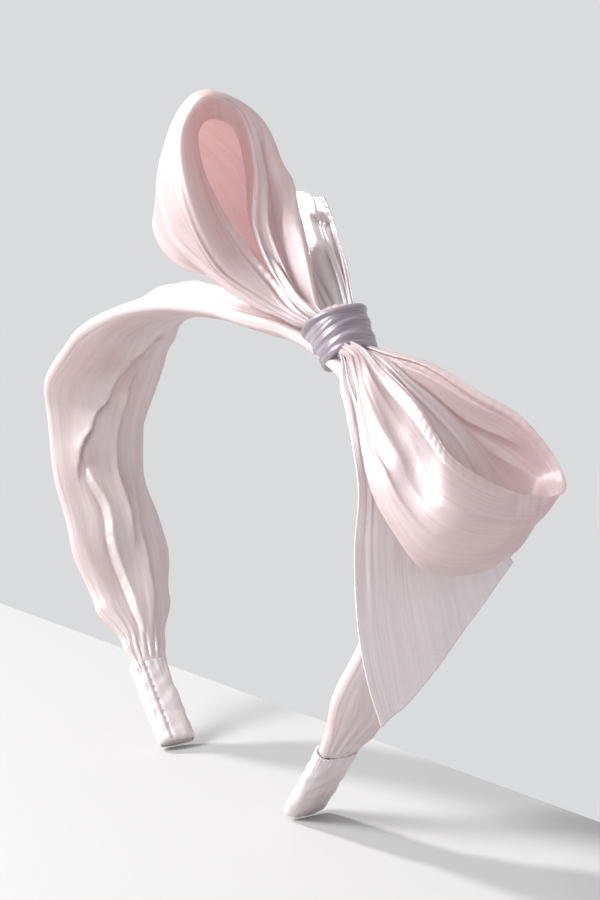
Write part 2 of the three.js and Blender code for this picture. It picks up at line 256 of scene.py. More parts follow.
def pleated(
    rails, rows, cols, seed, folds, depth, reach,
    soft=1.0, both=True, wavy=0.4, face=1, creases=(), tip_calm=0.0,
):
    """A ribbon through rails that leave the knot, pleated where it is gathered and smooth further out.

    folds is how many pleats cross it, depth the most that one stands up, and reach how far they run. soft
    scales the slow swells, and wavy those of the two long edges. both gathers the far end as well. face is 1
    where the outer face is on the side of the surface normal. Each crease is a line of (share of the length,
    share of the width), a height and a width in millimetres. tip_calm takes the relief away round a loop's
    far end."""
    fine = 1300
    lines = [rail(np.array(r, float) + KNOT, fine) for r in rails]
    walk = lengths(sum(lines) / len(lines))
    places = np.interp(np.linspace(0, walk[-1], rows), walk, np.arange(fine))

    def even(line):
        return np.stack([np.interp(places, np.arange(fine), line[:, k]) for k in range(3)], axis=1)

    lines = [even(line) for line in lines]
    grid = between(np.stack(lines, axis=1), cols)
    v = np.linspace(0, 1, cols)[None, :]
    length = np.linspace(0, walk[-1], rows)[:, None] * np.ones_like(v)
    share = length / walk[-1]
    from_knot = np.minimum(length, walk[-1] - length) if both else length
    step = np.linalg.norm(np.diff(grid, axis=1), axis=-1)
    across = np.concatenate([np.zeros((rows, 1)), np.cumsum(step, axis=1)], axis=1)
    width = across[:, -1:] * np.ones_like(v)
    side = fade(share, 0.45, 0.55) if both else 0 * length
    warp = v + 0.05 * np.sin(2 * np.pi * (1.35 * v + 0.21 * seed))
    warp = warp + 0.025 * np.sin(2 * np.pi * (2.9 * v + 0.4 * seed))
    wander = 0.4 * perlin(length / 30 + seed, v * 2.2 + 3 * side, seed + 11)
    phase = 2 * np.pi * (folds * (warp + 0.09 * side) + wander + 0.13 * seed)
    spacing = width / folds
    far_reach = reach * (0.4 + 0.9 * (0.5 + 0.5 * np.sin(phase / 2.7 + seed)))
    strength = np.exp(-((from_knot / far_reach) ** 1.5))
    high = np.minimum(0.36 * spacing, depth) * strength
    crest = np.sin(phase) + 0.28 * np.sin(2 * phase + 0.9)
    crest = np.sign(crest) * np.abs(crest) ** 0.8
    calm = fade(from_knot, 2, 18)
    swell = 0.8 * perlin(length / 42 + 5, v * 2.4 + 7 * side, seed + 21)
    slow = soft * (swell + 0.22 * perlin(length / 24, v * 5 + 7 * side, seed + 22))
    bent = v * 3.6 + 5 * side + 0.25 * perlin(length / 30, v * 2, seed + 5)
    sharp = soft * 0.16 * crease(length / 70 + 3, bent, seed + 31)
    lift = high * crest + calm * np.minimum(1, width / 14) * (slow + sharp)
    for line, height, wide in creases:
        at = table(line, share)
        first, last = line[0][0], line[-1][0]
        ends = fade(share, first, first + 0.05) * (1 - fade(share, last - 0.05, last))
        x = (v - at) * width / wide
        lift = lift + height * ends * np.exp(-np.abs(x) ** 1.3)
    edge_mm, far_edge_mm = v * width, (1 - v) * width
    stitching = 0.04 * np.sin(2 * np.pi * length / 2.4) * (1 - fade(edge_mm, 1.8, 3.4))
    hem = 0.14 * (1 - fade(edge_mm, 2.3, 2.8)) + stitching
    lift = lift + calm * np.minimum(1, width / 12) * hem
    ease, other = np.exp(-edge_mm / 5) * calm, np.exp(-far_edge_mm / 5) * calm
    lift = lift + wavy * perlin(length / 13 + 2 * seed, 0 * v + 0.5, seed + 41) * ease
    lift = lift + wavy * perlin(length / 11 + 7, 0 * v + 0.5, seed + 51) * other
    lift = lift * (1 - tip_calm * np.exp(-(((share - 0.5) / 0.09) ** 2)))
    up = face * normals(grid)
    lean = 0.28 * spacing * strength * np.cos(phase) * np.sin(np.pi * v)
    sideways = unit(np.gradient(grid, axis=1))
    return grid + up * lift[..., None] + sideways * lean[..., None], walk[-1]


# ---------------------------------------------------------------- materials


class Nodes:
    """Short calls for a material's nodes."""

    def __init__(self, name):
        self.mat = bpy.data.materials.new(name)
        self.mat.use_nodes = True
        self.tree = self.mat.node_tree
        self.tree.nodes.clear()

    def add(self, kind, **values):
        node = self.tree.nodes.new("ShaderNode" + kind)
        inputs = values.pop("inputs", {})
        for key, value in values.items():
            setattr(node, key, value)
        for key, value in inputs.items():
            if hasattr(value, "is_output"):
                self.tree.links.new(value, node.inputs[key])
            else:
                node.inputs[key].default_value = value
        return node

    def math(self, operation, a, b=0.0):
        return self.add("Math", operation=operation, inputs={0: a, 1: b}).outputs[0]

    def ramp(self, value, stops):
        node = self.add("ValToRGB", inputs={0: value})
        while len(node.color_ramp.elements) < len(stops):
            node.color_ramp.elements.new(0.5)
        for element, (place, colour) in zip(node.color_ramp.elements, stops):
            element.position = place
            element.color = (*colour, 1)
        return node.outputs[0]

    def mix(self, factor, a, b):
        node = self.add("Mix", data_type="RGBA")
        for key, value in ((0, factor), (6, a), (7, b)):
            if hasattr(value, "is_output"):
                self.tree.links.new(value, node.inputs[key])
            elif key == 0:
                node.inputs[key].default_value = value
            else:
                node.inputs[key].default_value = (*value, 1)
        return node.outputs[2]


# Metres from one thread of the weave to the next, along the ribbon and across it.
WARP_PITCH = 0.00042
WEFT_PITCH = 0.00036


def satin(name, base, deep, pale, through, through_share, rough, sheen=0.12):
    """Thin slubbed satin: fine streaks along the ribbon, a plain weave, silky gloss, and light through it.

    through is the colour of that light, and through_share how much of it there is."""
    n = Nodes(name)
    uv = n.add("UVMap", uv_map="Cloth").outputs[0]
    split = n.add("SeparateXYZ", inputs={0: uv})
    along, over = split.outputs[0], split.outputs[1]

    def streaks(per_length, per_width, detail, rough_noise):
        stretched = {0: n.math("MULTIPLY", along, per_length), 1: n.math("MULTIPLY", over, per_width)}
        flat = n.add("CombineXYZ", inputs=stretched).outputs[0]
        noise = {"Vector": flat, "Scale": 1.0, "Detail": detail, "Roughness": rough_noise}
        return n.add("TexNoise", inputs=noise).outputs[0]

    slub = streaks(110.0, 2600.0, 4.0, 0.62)
    streak = streaks(55.0, 760.0, 3.0, 0.55)
    place = n.add("TexCoord").outputs["Object"]
    cloud = n.add("TexNoise", inputs={"Vector": place, "Scale": 42.0, "Detail": 2.0}).outputs[0]
    tone = n.ramp(streak, [(0.3, deep), (0.52, base), (0.74, pale)])
    tone = n.mix(n.ramp(slub, [(0.42, (0, 0, 0)), (0.66, (0.55, 0.55, 0.55))]), tone, pale)
    tone = n.mix(n.ramp(cloud, [(0.35, (0, 0, 0)), (0.7, (0.35, 0.35, 0.35))]), tone, deep)
    warp = n.math("SINE", n.math("MULTIPLY", along, 2 * math.pi / WARP_PITCH))
    weft = n.math("SINE", n.math("MULTIPLY", over, 2 * math.pi / WEFT_PITCH))
    grid = n.math("MULTIPLY", warp, weft)
    height = n.math("ADD", n.math("MULTIPLY", grid, 0.22), n.math("MULTIPLY", slub, 1.1))
    height = n.math("ADD", height, n.math("MULTIPLY", streak, 1.2))
    bump = n.add("Bump", inputs={"Strength": 0.34, "Distance": 0.00022, "Height": height}).outputs[0]
    gloss = n.math("ADD", n.math("MULTIPLY", slub, -0.22), rough + 0.12)
    gloss = n.math("ADD", gloss, n.math("MULTIPLY", cloud, 0.08))
    body = n.add("BsdfPrincipled", inputs={
        "Base Color": tone, "Roughness": gloss, "Normal": bump, "Anisotropic": 0.6, "Metallic": 0.3,
        "Anisotropic Rotation": 0.25, "Sheen Weight": sheen, "Sheen Roughness": 0.35,
        "Sheen Tint": (0.95, 0.9, 0.96, 1.0), "Specular IOR Level": 0.7,
        "Coat Weight": 0.18, "Coat Roughness": 0.3,
    })
    tangent = n.add("Tangent", direction_type="UV_MAP", uv_map="Cloth").outputs[0]
    n.tree.links.new(tangent, body.inputs["Tangent"])
    glow = n.add("BsdfTranslucent", inputs={"Color": n.mix(0.35, through, tone), "Normal": bump})
    both = n.add("MixShader", inputs={0: through_share, 1: body.outputs[0], 2: glow.outputs[0]})
    n.add("OutputMaterial", inputs={"Surface": both.outputs[0]})
    return n.mat


doubled = satin(
    "doubled ribbon satin", (0.86, 0.80, 0.815), (0.78, 0.70, 0.72), (0.92, 0.90, 0.92), (0.95, 0.82, 0.83),
    through_share=0.16, rough=0.27)
ribbon = satin(
    "ribbon satin", (0.85, 0.785, 0.80), (0.76, 0.66, 0.68), (0.92, 0.89, 0.91), (1.0, 0.72, 0.68),
    through_share=0.44, rough=0.27)
sleeve_satin = satin(
    "sleeve satin", (0.86, 0.785, 0.79), (0.78, 0.68, 0.69), (0.92, 0.885, 0.89), (1.0, 0.74, 0.70),
    through_share=0.34, rough=0.28)
cap_satin = satin(
    "cap satin", (0.77, 0.685, 0.69), (0.68, 0.585, 0.595), (0.85, 0.80, 0.81), (0.9, 0.6, 0.58),
    through_share=0.1, rough=0.38)
# Painted shade: the knot's satin is the pale ribbon darkened to about a third, standing in for the shade that
# falls on the wrap between the loops.
knot_painted_shade_satin = satin(
    "knot satin painted shade", (0.31, 0.26, 0.30), (0.225, 0.185, 0.22), (0.50, 0.46, 0.51), (0.85, 0.6, 0.6),
    through_share=0.05, rough=0.26, sheen=0.3)


def plain(name, colour, rough, bump_scale, bump_height):
    """A smooth moulded or spun material with a fine grain in its colour, roughness and surface."""
    n = Nodes(name)
    place = n.add("TexCoord").outputs["Object"]
    grain = n.add("TexNoise", inputs={"Vector": place, "Scale": bump_scale, "Detail": 4.0}).outputs[0]
    dark = tuple(0.86 * c for c in colour)
    tone = n.ramp(grain, [(0.3, dark), (0.7, colour)])
    bump = n.add("Bump", inputs={"Strength": 0.4, "Distance": bump_height, "Height": grain}).outputs[0]
    gloss = n.math("ADD", n.math("MULTIPLY", grain, 0.18), rough)
    body = n.add("BsdfPrincipled", inputs={"Base Color": tone, "Roughness": gloss, "Normal": bump})
    n.add("OutputMaterial", inputs={"Surface": body.outputs[0]})
    return n.mat


core_plastic = plain("core plastic", (0.83, 0.79, 0.76), 0.28, 900.0, 0.00004)
thread = plain("sewing thread", (0.72, 0.55, 0.57), 0.7, 4200.0, 0.00008)


# ---------------------------------------------------------------- the sleeve

# Half the sleeve's width and thickness, and how far it sits off the band's middle, at lengths from the crown.
HALF_WIDTH = [
    (-SLEEVE_END, 4.7), (-SLEEVE_END + 6, 5.9), (-SLEEVE_END + 18, 10.6), (-SLEEVE_END + 34, 13.6),
    (-SLEEVE_END + 50, 12.6), (-96, 13.5), (-78, 16.4), (-62, 15.8), (-36, 12.5), (-10, 10.2),
    (20, 8.6), (KNOT_FROM_CROWN - 12, 5.2), (KNOT_FROM_CROWN - 5, 4.6), (KNOT_FROM_CROWN + 6, 4.6),
    (KNOT_FROM_CROWN + 28, 8.5), (SLEEVE_END - 36, 8.8), (SLEEVE_END - 17, 10.6), (SLEEVE_END - 5, 6.2),
    (SLEEVE_END, 4.7),
]
HALF_THICK = [
    (-SLEEVE_END, 2.0), (-SLEEVE_END + 18, 4.0), (-100, 4.4), (-70, 4.9), (-20, 3.6), (30, 3.1),
    (KNOT_FROM_CROWN - 12, 1.8), (KNOT_FROM_CROWN - 5, 1.35), (KNOT_FROM_CROWN + 5, 1.35),
    (KNOT_FROM_CROWN + 24, 4), (SLEEVE_END - 18, 4.0), (SLEEVE_END, 2.0),
]
SHIFT = [
    (-SLEEVE_END, 0.6), (-148, 1.6), (-135, 2.0), (-122, 1.4), (-108, -0.2), (-96, 0.4), (-84, 1.8),
    (-66, 3.0), (-40, 1.0), (0, 0.0), (KNOT_FROM_CROWN, 0.0), (84, 2.4), (104, 4.6), (126, 5.2),
    (SLEEVE_END - 17, 4.4), (SLEEVE_END - 5, 1.6), (SLEEVE_END, 0.5),
]
# Overlapped folds that run along it: face (1 outer, -1 inner), line of (length, place across), height, and
# the side to which the fold steps down.
FOLDS = [
    (-1, [(-106, -7), (-100, -6.5), (-92, -3), (-82, 1), (-62, 1.5), (-48, 5)], 2.9, 1),
    (-1, [(-128, 3), (-112, 4), (-100, 4.5), (-84, 7), (-60, 6), (-40, 8)], 2.2, 1),
    (-1, [(-158, 0), (-146, -2), (-128, -4), (-116, -3), (-104, -5)], 2.2, -1),
    (-1, [(-156, 2), (-140, 5), (-124, 6), (-106, 9)], 1.7, 1),
    (-1, [(-44, -3), (-20, -2), (0, 2), (20, 1), (46, -2)], 1.1, 1),
    (1, [(-150, 2), (-130, 5), (-110, 3), (-90, 6), (-70, 5)], 1.2, 1),
    (1, [(-140, -4), (-120, -7), (-100, -4), (-80, -7), (-60, -6), (-40, -4)], 1.2, -1),
    (1, [(-66, 0), (-40, 2), (-16, 1), (10, -2), (46, -0.5)], 1.3, 1),
    (1, [(-30, -5), (0, -4), (26, -3), (50, -2)], 1.0, -1),
    (1, [(66, 0), (84, 2), (104, 4), (130, 7), (150, 4)], 1.3, 1),
    (1, [(70, -1), (96, -3), (120, -3), (148, -1)], 1.1, -1),
    (-1, [(68, 0), (90, 2), (116, 3), (146, 1)], 1.2, 1),
]


def sleeve(start, end, rows, cols, seed):
    """The gathered sleeve's points from one length to another, and the lengths of its rows."""
    s = np.linspace(start, end, rows)
    centre, _, out = (x[:, None, :] for x in band_frame(s))
    s = s[:, None]
    angle = np.linspace(0, 2 * np.pi, cols, endpoint=False)[None, :]
    c, sn = np.cos(angle), np.sin(angle)
    pinch = np.minimum(np.abs(np.abs(s) - SLEEVE_END), np.abs(s - KNOT_FROM_CROWN))
    loose = fade(pinch, 2, 24)
    half_width = table(HALF_WIDTH, s)
    front = 1 + loose * 0.06 * perlin(s / 30 + 3, 0 * s + 0.5, seed)
    back = 0.13 * perlin(s / 26 + 9, 0 * s + 0.5, seed + 2) + 0.03 * perlin(s / 11, 0 * s + 0.5, seed + 3)
    back = 1 + loose * back
    edge = np.where(c > 0, back, front)
    y = half_width * c * edge
    thick = table(HALF_THICK, s) * (0.55 + 0.45 * (1 - loose)) + 0.9 * loose
    n = thick * np.sign(sn) * np.abs(sn) ** 1.05
    face = np.sign(sn)
    body = np.abs(sn) ** 0.7
    around = angle / (2 * np.pi)
    lift = 0.8 * perlin(s / 38 + 1, around * 6, seed + 7, 6)
    lift = lift + 0.16 * perlin(s / 17, around * 10, seed + 8, 10)
    lift = lift + 0.2 * crease(s / 60, around * 7 + 0.3 * perlin(s / 30, around * 5, seed + 9, 5), seed + 10)
    lift = lift * loose * body * 1.2
    for which, line, height, step in FOLDS:
        places = np.array([p[0] for p in line], float)
        at = table(line, s)
        ends = fade(s, places[0] - 3, places[0] + 9) * (1 - fade(s, places[-1] - 9, places[-1] + 3))
        x = (y - at) * step
        ramp = np.where(x < 0, np.exp(np.minimum(x, 0) / 3.2), 0) * fade(-x, -0.35, 0.35)
        dip = np.exp(-np.maximum(x, 0) / 1.8) * fade(x, -0.2, 0.5)
        shape = height * (ramp - 0.6 * dip) * np.minimum(1, body * 1.6)
        lift = lift + np.where(face == which, 1, 0) * ends * loose * shape
    # Fine gathers at the two pinched ends.
    tight = np.exp(-pinch / 9.0)
    gather = np.sin(17 * angle + 2.2 * perlin(s / 14, around * 6, seed + 14, 6))
    gather = gather + 0.4 * np.sin(29 * angle + 1.3)
    lift = lift + 0.30 * tight * fade(pinch, 0, 3) * gather
    clear_of_core = 1.32
    height = np.maximum(np.abs(n) + lift, np.minimum(clear_of_core, np.abs(n) + 0.4))
    bow = loose * 0.8 * perlin(s / 24 + 4, 0 * s + 0.5, seed + 15)
    y = y + table(SHIFT, s)
    grid = centre + out * (face * height + bow)[..., None] + y[..., None] * ACROSS
    return grid, s[:, 0]


def sleeve_piece(name, start, end, rows, seed):
    """One stretch of the sleeve, over the hinge that it covers."""
    cols = 168
    grid, s = sleeve(start, end, rows, cols, seed)
    across = np.linspace(0, SLEEVE_AROUND, cols)
    piece = cloth(name, grid, across, np.abs(s - s[0]), sleeve_satin, thick=CLOTH_THICK, closed=True)
    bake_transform(piece)
    return piece


left_sleeve = sleeve_piece(
    "sleeve_cover_left", -SLEEVE_END - SLEEVE_TUCK, KNOT_FROM_CROWN,
    rows=340, seed=3)
right_sleeve = sleeve_piece(
    "sleeve_cover_right", KNOT_FROM_CROWN, SLEEVE_END + SLEEVE_TUCK,
    rows=170, seed=8)
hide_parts("sleeve_crown", "sleeve_left_arm")
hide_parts("sleeve_right_arm")


# ---------------------------------------------------------------- the tip caps


def tip_cap(name, side, body, node):
    """A fabric cap over one tip, with its end panel and the stitches of its seam."""
    mouth, end = HALF_LENGTH - CAP_LENGTH, HALF_LENGTH
    rounding = end - 1.2 + 1.15 * np.sin(np.linspace(0, np.pi / 2, 12))[1:]
    s = np.concatenate([np.linspace(mouth, end - 1.2, 70), rounding])
    centre, _, out = (x[:, None, :] for x in band_frame(side * s))
    s = s[:, None]
    cols = 96
    angle = np.linspace(0, 2 * np.pi, cols, endpoint=False)[None, :]
    c, sn = np.cos(angle), np.sin(angle)
    close = np.sqrt(np.clip(1 - ((s - (end - CAP_ROUNDING)) / CAP_ROUNDING).clip(0, 1) ** 2, 0, 1))
    inset = 0.88 + 0.12 * close
    power = 2 / 3.0
    y = CAP_HALF_WIDTH * np.sign(c) * np.abs(c) ** power * inset
    n = CAP_HALF_THICK * np.sign(sn) * np.abs(sn) ** power * (0.55 + 0.45 * close)
    around = angle / (2 * np.pi)
    pull = 0.16 * perlin(s / 3.2, around * 9, 61, 9) + 0.1 * crease(s / 5 + y / 7, around * 5, 62, 5)
    puckers = 0.16 * np.exp(-(s - mouth) / 2.2) * np.sin(22 * angle)
    groove, ridge = np.exp(-(((y + 1.7) / 0.42) ** 2)), np.exp(-(((y + 2.5) / 0.5) ** 2))
    seam = -0.32 * groove * (sn < 0) + 0.16 * ridge * (sn < 0)
    swell = pull * close + puckers + seam * close
    y = y + swell * c
    n = n + swell * np.sign(sn) * np.abs(sn) ** 0.5
    grid = centre + out * n[..., None] + y[..., None] * ACROSS
    across = np.linspace(0, 26, cols)
    piece = cloth(name, grid, across, s[:, 0] - mouth, cap_satin, thick=CLOTH_THICK, closed=True)
    tip = end_panel(name + "_end", side, end)
    for p in (piece, tip):
        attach(p, body)
    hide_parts(node)
    stitches = seam_stitches(name + "_stitches", side, mouth + 2, end - 3)
    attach(stitches, body)


def end_panel(name, side, end):
    """The flat fabric that closes the end of a cap."""
    r = np.linspace(0.02, 1, 12)[:, None]
    angle = np.linspace(0, 2 * np.pi, 60, endpoint=False)[None, :]
    c, sn = np.cos(angle), np.sin(angle)
    y = PANEL_HALF_WIDTH * np.sign(c) * np.abs(c) ** 0.67 * r
    n = PANEL_HALF_THICK * np.sign(sn) * np.abs(sn) ** 0.67 * r
    centre, along, out = (x[0] for x in band_frame([side * (end - 0.16)]))
    dome = 0.1 * (1 - r**2) + 0.04 * perlin(y / 1.5, n / 1.1, 66)
    grid = centre + along * side * dome[..., None] + out * n[..., None] + y[..., None] * ACROSS
    return cloth(name, grid, np.linspace(0, 20, 60), r[:, 0] * 4, cap_satin, thick=0.15, closed=True)


def tube_along(name, strokes, radius, material):
    """Short round threads, one for each stroke of points in millimetres."""
    sides = 6
    verts, faces = [], []
    for stroke in strokes:
        p = np.array(stroke, float)
        d = unit(np.gradient(p, axis=0))
        up = unit(np.cross(d, np.array([0.31, 0.93, 0.17])))
        side = np.cross(d, up)
        first = len(verts)
        taper = np.sin(np.linspace(0.25, np.pi - 0.25, len(p))) ** 0.4
        for k, q in enumerate(p):
            for i in range(sides):
                a = 2 * np.pi * i / sides
                spoke = math.cos(a) * up[k] + math.sin(a) * side[k]
                verts.append((q + radius * taper[k] * spoke) * MM)
        for k in range(len(p) - 1):
            for i in range(sides):
                j = (i + 1) % sides
                here, there = first + k * sides, first + (k + 1) * sides
                faces.append((here + i, here + j, there + j, there + i))
        faces.append(tuple(first + i for i in reversed(range(sides))))
        faces.append(tuple(first + (len(p) - 1) * sides + i for i in range(sides)))
    mesh = bpy.data.meshes.new(name)
    mesh.from_pydata([tuple(v) for v in verts], [], faces)
    mesh.polygons.foreach_set("use_smooth", [True] * len(mesh.polygons))
    mesh.materials.append(material)
    mesh.update()
    piece = bpy.data.objects.new(name, mesh)
    bpy.context.scene.collection.objects.link(piece)
    return piece


def seam_stitches(name, side, start, end):
    """Hand stitches that close the seam on a cap's inner face."""
    strokes = []
    for s in np.arange(start, end, STITCH_PITCH):
        centre, along, out = (x[0] for x in band_frame([side * s]))
        rise = [(-0.95, -2.02), (-1.45, -2.16), (-2.0, -2.12), (-2.5, -2.2), (-2.85, -2.08)]
        strokes.append([centre + out * n + y * ACROSS + along * (0.25 * (y + 1.9)) for y, n in rise])
    return tube_along(name, strokes, THREAD_RADIUS, thread)


tip_cap("cap_cover_left", -1, "left_arm", "tip_cap_left")
tip_cap("cap_cover_right", 1, "right_arm", "tip_cap_right")


# ---------------------------------------------------------------- the knot

# The wrap sits more steeply than the band, because the bow's weight pulls its lower end down.
WRAP_DOWN = unit(np.array([0.534, 0.06, -0.843]))
WRAP_SIDE = unit(ACROSS - WRAP_DOWN[1] * WRAP_DOWN)
WRAP_OUT = np.cross(WRAP_DOWN, WRAP_SIDE)
WRAP_CENTRE = KNOT + np.array([0.6, 0.9, -0.3])


def wrap_grid(t, y, n):
    """Points at t down the wrap's axis, y across it and n outwards."""
    return WRAP_CENTRE + WRAP_DOWN * t[..., None] + WRAP_SIDE * y[..., None] + WRAP_OUT * n[..., None]


def knot_cover():
    """The strip pulled tight round the bow, with turned-in ends, slanting wrinkles and an overlap."""
    rows, cols = 130, 220
    half = 4.7
    p = np.linspace(-1.22, 1.22, rows)[:, None]
    over = np.clip(np.abs(p) - 1, 0, 1) / 0.22
    t = np.sign(p) * half * np.minimum(np.abs(p), 1) - np.sign(p) * 0.9 * over**2
    inward = 1.15 * np.sin(np.pi / 2 * np.minimum(1, over))
    angle = np.linspace(0, 2 * np.pi, cols, endpoint=False)[None, :]
    c, sn = np.cos(angle), np.sin(angle)
    power = 2 / 2.2
    around = angle / (2 * np.pi)
    end = np.clip(np.abs(t) / half, 0, 1)
    rim = 0.26 * np.exp(-(((np.abs(t) - half + 0.5) / 0.38) ** 2))
    rim = rim - 0.1 * np.exp(-(((np.abs(t) - half + 1.35) / 0.3) ** 2))
    slant = t + 0.9 * np.sin(angle + 0.6)
    wrinkle = 0.16 * crease(around * 3, slant / 2.6 + 40, 81)
    wrinkle = wrinkle + 0.10 * perlin(around * 7, slant / 0.8 + 20, 83)
    overlap = 0.28 * fade(slant, -1.0, -0.75) - 0.14
    calm = 1 - fade(np.abs(t), half - 1.3, half - 0.5)
    taper = 6.15 - 0.55 * t / half
    extra = rim * (over <= 0) + (wrinkle + overlap) * calm - inward
    y = (taper + extra) * np.sign(c) * np.abs(c) ** power
    under = 1.0 * fade(-t, 0, half) * (sn < 0)
    n = (taper - 0.15 + extra + under) * np.sign(sn) * np.abs(sn) ** power
    place = t + 0.35 * np.sin(angle * 2 + 1.0) * end * np.sign(t) + 0.10 * y * fade(t, 0, half)
    # The knot's satin carries painted shade, darker than the ribbon it is made of.
    piece = cloth(
        "knot_cover", wrap_grid(place, y, n), np.linspace(0, 40, cols), (p[:, 0] + 1.22) * half, knot_painted_shade_satin,
        thick=0.4, closed=True, weave_around=True)
    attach(piece, "crown")
    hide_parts("knot_wrap")
    return piece


def bundle():
    """The gathered middle of the bow: deep pleats squeezed together, that show at both ends of the wrap."""
    rows, cols = 90, 200
    half = 7.2
    t = np.linspace(-half, half, rows)[:, None]
    angle = np.linspace(0, 2 * np.pi, cols, endpoint=False)[None, :]
    around = angle / (2 * np.pi)
    close = np.sqrt(np.clip(1 - (np.abs(t) / 7.25) ** 6, 0.002, 1))
    size = (4.75 - 0.35 * t / half) * close
    ridge = np.abs(np.sin(6.5 * angle + 0.7 * perlin(t / 6, around * 5, 91, 5)))
    size = size - 0.75 * (1 - ridge**0.7) * close
    grid = wrap_grid(t + 0 * angle, size * np.cos(angle), size * np.sin(angle))
    across = np.linspace(0, 90, cols)
    piece = cloth("gather_cover", grid, across, t[:, 0] + half, ribbon, thick=0.2, closed=True)
    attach(piece, "crown")
    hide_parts("bow_gather", "binding_thread")
    return piece


knot = knot_cover()
gather = bundle()


# ---------------------------------------------------------------- the bow

# Each inner list is one rail of a ribbon, in millimetres from the knot. A loop's rails come back to the knot.
UPPER_LOOP = [
    [
        [-3, -2.5, 2.5], [-7, -5, 5.5], [-14.5, -6, 11.5], [-23.5, -9.5, 21], [-30, -12.5, 31],
        [-33, -14, 44.5], [-34, -10, 47.5], [-34, -4.5, 45.5], [-34.5, -1.5, 36.5], [-28.5, -4, 25],
        [-11.5, -4, 10], [-4.5, -2.5, 5.5], [-2.5, -1, 4],
    ],
    [
        [-2.5, -4, 2.5], [-5.5, -6.5, 4], [-12.5, -11.5, 9], [-18.5, -17, 15.5], [-23, -21.5, 29.5],
        [-27.5, -20.5, 45], [-28, -13.5, 52], [-28, -6, 49], [-26.5, -3, 36], [-21.5, -5.5, 22.5],
        [-9, -5.5, 9], [-3, -4, 5], [-0.5, -2, 3.5],
    ],
    [
        [-3.5, -4, 2.5], [-6.5, -6, 3.5], [-15.5, -11.5, 8], [-25.5, -17, 16], [-34.5, -20.5, 25.5],
        [-41, -18, 42.5], [-38.5, -11.5, 52], [-33, 1, 45], [-31, 6.5, 31.5], [-21, 5, 21.5], [-8, 0.5, 10],
        [-2.5, -1, 5.5], [-1, -0.5, 4],
    ],
    [
        [-6, -1.5, 1.5], [-9.5, -4, 2.5], [-21.5, -7.5, 7], [-33.5, -11.5, 12.5], [-45.5, -15, 16.5],
        [-56, -15, 25], [-60.5, -8.5, 34], [-60.5, -6.5, 25.5], [-52, -6, 18], [-36.5, -4.5, 12],
        [-16, -2, 6.5], [-7.5, 0, 4], [-4.5, 0.5, 3],
    ],
]
LOWER_LOOP = [
    [
        [5.5, -0.5, -0.5], [11, -1, -1], [19.5, -1, -5], [31, -1, -11], [37.5, -1, -17], [42, -0.5, -21.5],
        [45.5, 6.5, -27], [45, 19, -30.5], [40.5, 27.5, -29.5], [37.5, 27.5, -25], [34, 22, -16.5],
        [28.5, 15.5, -11], [20, 9.5, -5], [12, 4.5, -2.5], [6, 2, -1],
    ],
    [
        [7, -2.5, -1], [12, -2.5, -2.5], [24, -7, -8], [34, -7.5, -17.5], [42, -7, -24.5], [48.5, -5.5, -29],
        [51, 3, -32.5], [48, 15.5, -33.5], [41.5, 23, -31], [34.5, 25.5, -29], [29, 21.5, -23.5],
        [24, 14, -17.5], [18, 8, -9.5], [11, 4, -4.5], [4.5, 1.5, -1.5],
    ],
    [
        [7.5, -3.5, -2], [11.5, -4, -3], [24, -10.5, -11], [36, -13.5, -21], [43, -13, -30], [47.5, -9, -36],
        [50, 1, -38.5], [46, 13.5, -36.5], [41.5, 20, -34.5], [35, 21, -35], [35, 15, -30], [32.5, 9, -18.5],
        [23, 4, -9], [13, 2, -3.5], [4.5, 1, -2.5],
    ],
    [
        [6.5, -3.5, -2.5], [10.5, -4, -3.5], [22.5, -10.5, -12.5], [32, -14, -23.5], [38, -12, -34],
        [43, -8, -41.5], [45.5, 0.5, -43], [43.5, 12, -41], [40.5, 17, -39], [36, 15.5, -39], [36, 8, -35],
        [34, 1, -22], [25.5, -1, -11.5], [15, -1, -4], [4, 0, -3.5],
    ],
]
UPPER_TAIL = [
    [
        [-0.5, 4, 1.5], [-2.5, 5.5, 6], [-7.5, 8, 11], [-14, 10.5, 17], [-20.5, 12.5, 23], [-26, 14, 28],
        [-29, 15, 29.5], [-32.5, 17.5, 28], [-34, 20, 23], [-34, 21.5, 14],
    ],
    [
        [-1, 2.5, 1.5], [-4, 4, 5.5], [-10.5, 6.5, 11], [-19.5, 9.5, 17.5], [-28, 12, 24], [-34, 14.5, 29],
        [-37.5, 15.5, 30.5], [-40.5, 17.5, 29.5], [-42, 19.5, 24.5], [-42.5, 21, 14.5],
    ],
    [
        [-3.5, 1, 1], [-8, 2.2, 4.5], [-18.5, 4.5, 9.5], [-30, 8.5, 17], [-38.5, 11.5, 23], [-44.5, 14, 28],
        [-48.5, 16, 31.5], [-51, 18, 31], [-52.5, 19.5, 25], [-53, 21, 15],
    ],
]
LOWER_TAIL = [
    [
        [3.5, -2.5, -2], [7, -3.5, -3.5], [12.5, -7, -9], [20, -10.5, -13], [27, -13.5, -19],
        [30.5, -14.5, -27.5], [29, -15, -39], [31.5, -16.5, -52], [32, -15, -64], [31.5, -12, -74],
    ],
    [
        [4.5, -1, -2], [10, -2.5, -4], [16.5, -3, -7.5], [22.5, -3, -13], [29, -5, -19.5], [30.5, -4.5, -28],
        [29.5, -4.5, -39], [30, -4.5, -50], [30, -3, -59.5], [29.5, -1.5, -68.5],
    ],
    [
        [5.5, 1, -2], [9.5, 1.5, -4], [16, 3, -8], [23, 6, -13], [29, 8.5, -18.5], [32, 11.5, -25.5],
        [32, 14, -32], [32, 16.5, -37], [32, 18, -41.5], [32, 20.5, -45.5],
    ],
]


def bow_piece(name, rails, rows, cols, flat_width, bodies, nodes, material=ribbon, **shape):
    """One ribbon of the bow. One that rides two bodies is not attached to either."""
    grid, length = pleated(rails, rows, cols, **shape)
    across, along = np.linspace(0, flat_width, cols), np.linspace(0, length, rows)
    piece = cloth(name, grid, across, along, material, thick=CLOTH_THICK)
    if len(bodies) == 1:
        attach(piece, bodies[0])
    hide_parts(*nodes)
    return piece


